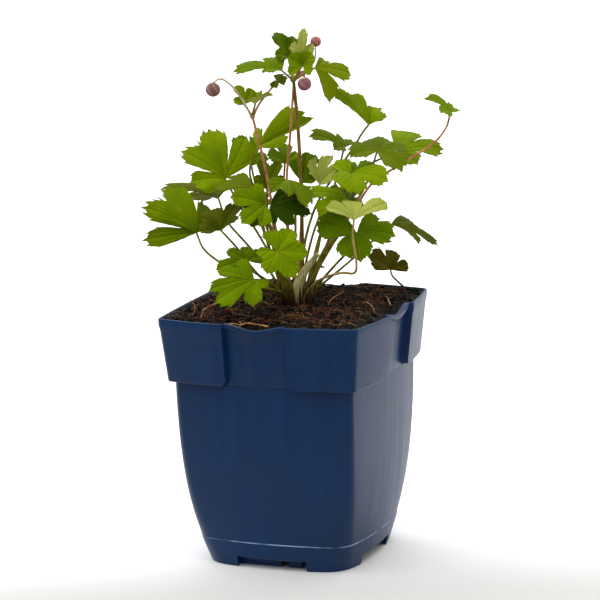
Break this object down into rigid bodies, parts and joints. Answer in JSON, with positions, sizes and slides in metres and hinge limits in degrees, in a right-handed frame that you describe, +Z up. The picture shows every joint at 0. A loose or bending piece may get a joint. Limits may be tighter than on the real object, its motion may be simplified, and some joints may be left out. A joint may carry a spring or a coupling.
{
  "type": "potted garden perennial",
  "caption": "Young japanese anemone with lobed, toothed leaves and round flower buds on slender stems, growing in a square nursery pot filled with soil.",
  "frame": {"origin": "centre of the bounding box, at the level of the ground under the pot", "axes": "+Z up; the pot's sides lie along X and Y; the picture looks from -Y, about 22 degrees towards +X"},
  "size_m": [0.1808, 0.1652, 0.3471],
  "materials": {
    "pot": "satin",
    "soil": "rough, fibrous",
    "leaf": "satin",
    "stalk": "satin",
    "bud": "downy"
  },
  "bodies": {
    "root": {"pot": "pot", "soil": "soil", "stalks": "stalk", "runner_stalk": "stalk", "leaf_back_left": "leaf", "leaf_back_right": "leaf", "leaf_behind_mid": "leaf", "leaf_curl_right": "leaf", "leaf_dark_mid": "leaf", "leaf_dark_up": "leaf", "leaf_far_right": "leaf", "leaf_front": "leaf", "leaf_inner_dark": "leaf", "leaf_inner_upper": "leaf", "leaf_left_back": "leaf", "leaf_left_front": "leaf", "leaf_left_inner": "leaf", "leaf_left_low": "leaf", "leaf_left_whorl_broad": "leaf", "leaf_left_whorl_end": "leaf", "leaf_left_whorl_side": "leaf", "leaf_long_left": "leaf", "leaf_low_left": "leaf", "leaf_low_left_back": "leaf", "leaf_mid_front": "leaf", "leaf_pale": "leaf", "leaf_pale_under": "leaf", "leaf_rear_low": "leaf", "leaf_rear_mid": "leaf", "leaf_rear_right": "leaf", "leaf_right_bright": "leaf", "leaf_right_edge": "leaf", "leaf_right_low": "leaf", "leaf_right_mid": "leaf", "leaf_right_top": "leaf", "leaf_runner": "leaf", "leaf_side_right": "leaf", "leaf_stem_left": "leaf", "leaf_top_right": "leaf", "leaf_upper_left": "leaf", "leaf_whorl_front": "leaf", "leaf_whorl_left": "leaf", "leaf_whorl_pale": "leaf", "leaf_whorl_right": "leaf", "leaf_whorl_upper_left": "leaf", "leaf_yellow_up": "leaf", "bud_left": "bud", "bud_middle": "bud", "bud_top": "bud"}
  },
  "joints": []
}
